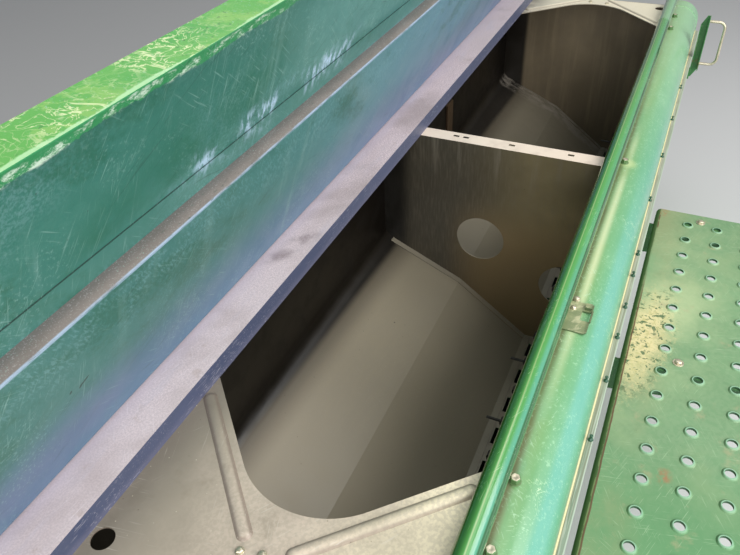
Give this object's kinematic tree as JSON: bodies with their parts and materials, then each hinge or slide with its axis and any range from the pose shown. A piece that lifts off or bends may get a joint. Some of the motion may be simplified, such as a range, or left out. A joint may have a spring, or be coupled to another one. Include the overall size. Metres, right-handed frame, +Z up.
{
  "type": "seed drill hopper with loading walkway",
  "caption": "Long sheet-metal seed hopper with an open hinged lid, a divider, rounded rims, a rear loading walkway, and metering units with their shafts underneath.",
  "frame": {"origin": "middle of the four bolts of the hopper's feet, on their mounting face", "axes": "+X along the hopper towards its shorter end, +Y towards the side of the lid's hinge, +Z up"},
  "size_m": [3.057, 1.19, 1.5142],
  "materials": {
    "green_paint": "green enamel, worn and dusty",
    "light_green_paint": "light green enamel, finely scratched",
    "faded_green_paint": "faded green enamel, sanded by boots",
    "lid_paint": "blue-green enamel under dust",
    "cream_paint": "cream paint, worn",
    "dusty_rim": "pale lavender-grey dusty paint",
    "worn_sheet": "bare sheet, beige dust",
    "inner_sheet": "bare sheet polished by grain, scratched",
    "black_plastic": "black moulded plastic",
    "cast_housing": "grey cast flange",
    "zinc_steel": "zinc plated",
    "shaft_steel": "bright drawn steel",
    "black_paint": "black enamel",
    "bright_rod": "chromed rod"
  },
  "bodies": {
    "hopper": {"front_and_floor_sheet": "inner_sheet", "rear_sheet": "inner_sheet", "trough_plate": "inner_sheet", "end_wall_near": "green_paint", "end_wall_far": "green_paint", "end_shelf_near": "worn_sheet", "end_shelf_far": "worn_sheet", "partition": "inner_sheet", "wall_strap": "inner_sheet", "front_rim": "dusty_rim", "rear_rim": "light_green_paint", "rim_edge_strip": "cream_paint", "rim_tube": "green_paint", "tube_saddles": "green_paint", "latch_plate": "light_green_paint", "metering_units": "black_plastic", "shaft_bearings": "cast_housing", "foot_near": "green_paint", "foot_far": "green_paint", "walkway_board": "faded_green_paint", "walkway_arms": "green_paint", "grab_handle": "zinc_steel", "handle_plate": "green_paint", "hinge_lugs": "green_paint", "strut_brackets": "zinc_steel"},
    "lid": {"lid_skin": "lid_paint", "lid_box": "lid_paint", "lid_end_near": "lid_paint", "lid_end_far": "lid_paint", "lid_hinge_pins": "zinc_steel", "lid_strut_studs": "zinc_steel", "lid_catch": "zinc_steel"},
    "agitator_rotor": {"agitator": "shaft_steel", "agitator_fingers": "cast_housing"},
    "metering_rotor": {"metering_shaft": "shaft_steel"},
    "near_cylinder": {"strut_cylinder_near": "black_paint"},
    "near_rod": {"strut_rod_near": "bright_rod"},
    "far_cylinder": {"strut_cylinder_far": "black_paint"},
    "far_rod": {"strut_rod_far": "bright_rod"}
  },
  "joints": [
    {"name": "lid_hinge", "type": "hinge", "parent": "hopper", "child": "lid", "pos_m": [0, 0.195, 0.888], "axis": [1, 0, 0], "range_deg": [0, 69]},
    {"name": "agitator_spin", "type": "hinge", "parent": "hopper", "child": "agitator_rotor", "pos_m": [0, -0.33, 0.23], "axis": [1, 0, 0], "continuous": true},
    {"name": "metering_spin", "type": "hinge", "parent": "hopper", "child": "metering_rotor", "pos_m": [0, -0.33, 0.115], "axis": [1, 0, 0], "continuous": true},
    {"name": "near_strut_pivot", "type": "hinge", "parent": "hopper", "child": "near_cylinder", "pos_m": [-1.575, 0.14, 0.65], "axis": [1, 0, 0], "range_deg": [-0.2, 36.6]},
    {"name": "near_strut_slide", "type": "slide", "parent": "near_cylinder", "child": "near_rod", "axis": [0, -0.0893, 0.996], "range_m": [-0.172, 0.001]},
    {"name": "far_strut_pivot", "type": "hinge", "parent": "hopper", "child": "far_cylinder", "pos_m": [1.372, 0.14, 0.65], "axis": [1, 0, 0], "range_deg": [-0.2, 36.6]},
    {"name": "far_strut_slide", "type": "slide", "parent": "far_cylinder", "child": "far_rod", "axis": [0, -0.0893, 0.996], "range_m": [-0.172, 0.001]}
  ],
  "couplings": [
    {"joint": "near_strut_pivot", "follows": "lid_hinge", "ratio": 0.525},
    {"joint": "near_strut_slide", "follows": "lid_hinge", "m_per_rad": -0.14158},
    {"joint": "far_strut_pivot", "follows": "lid_hinge", "ratio": 0.525},
    {"joint": "far_strut_slide", "follows": "lid_hinge", "m_per_rad": -0.14158}
  ]
}
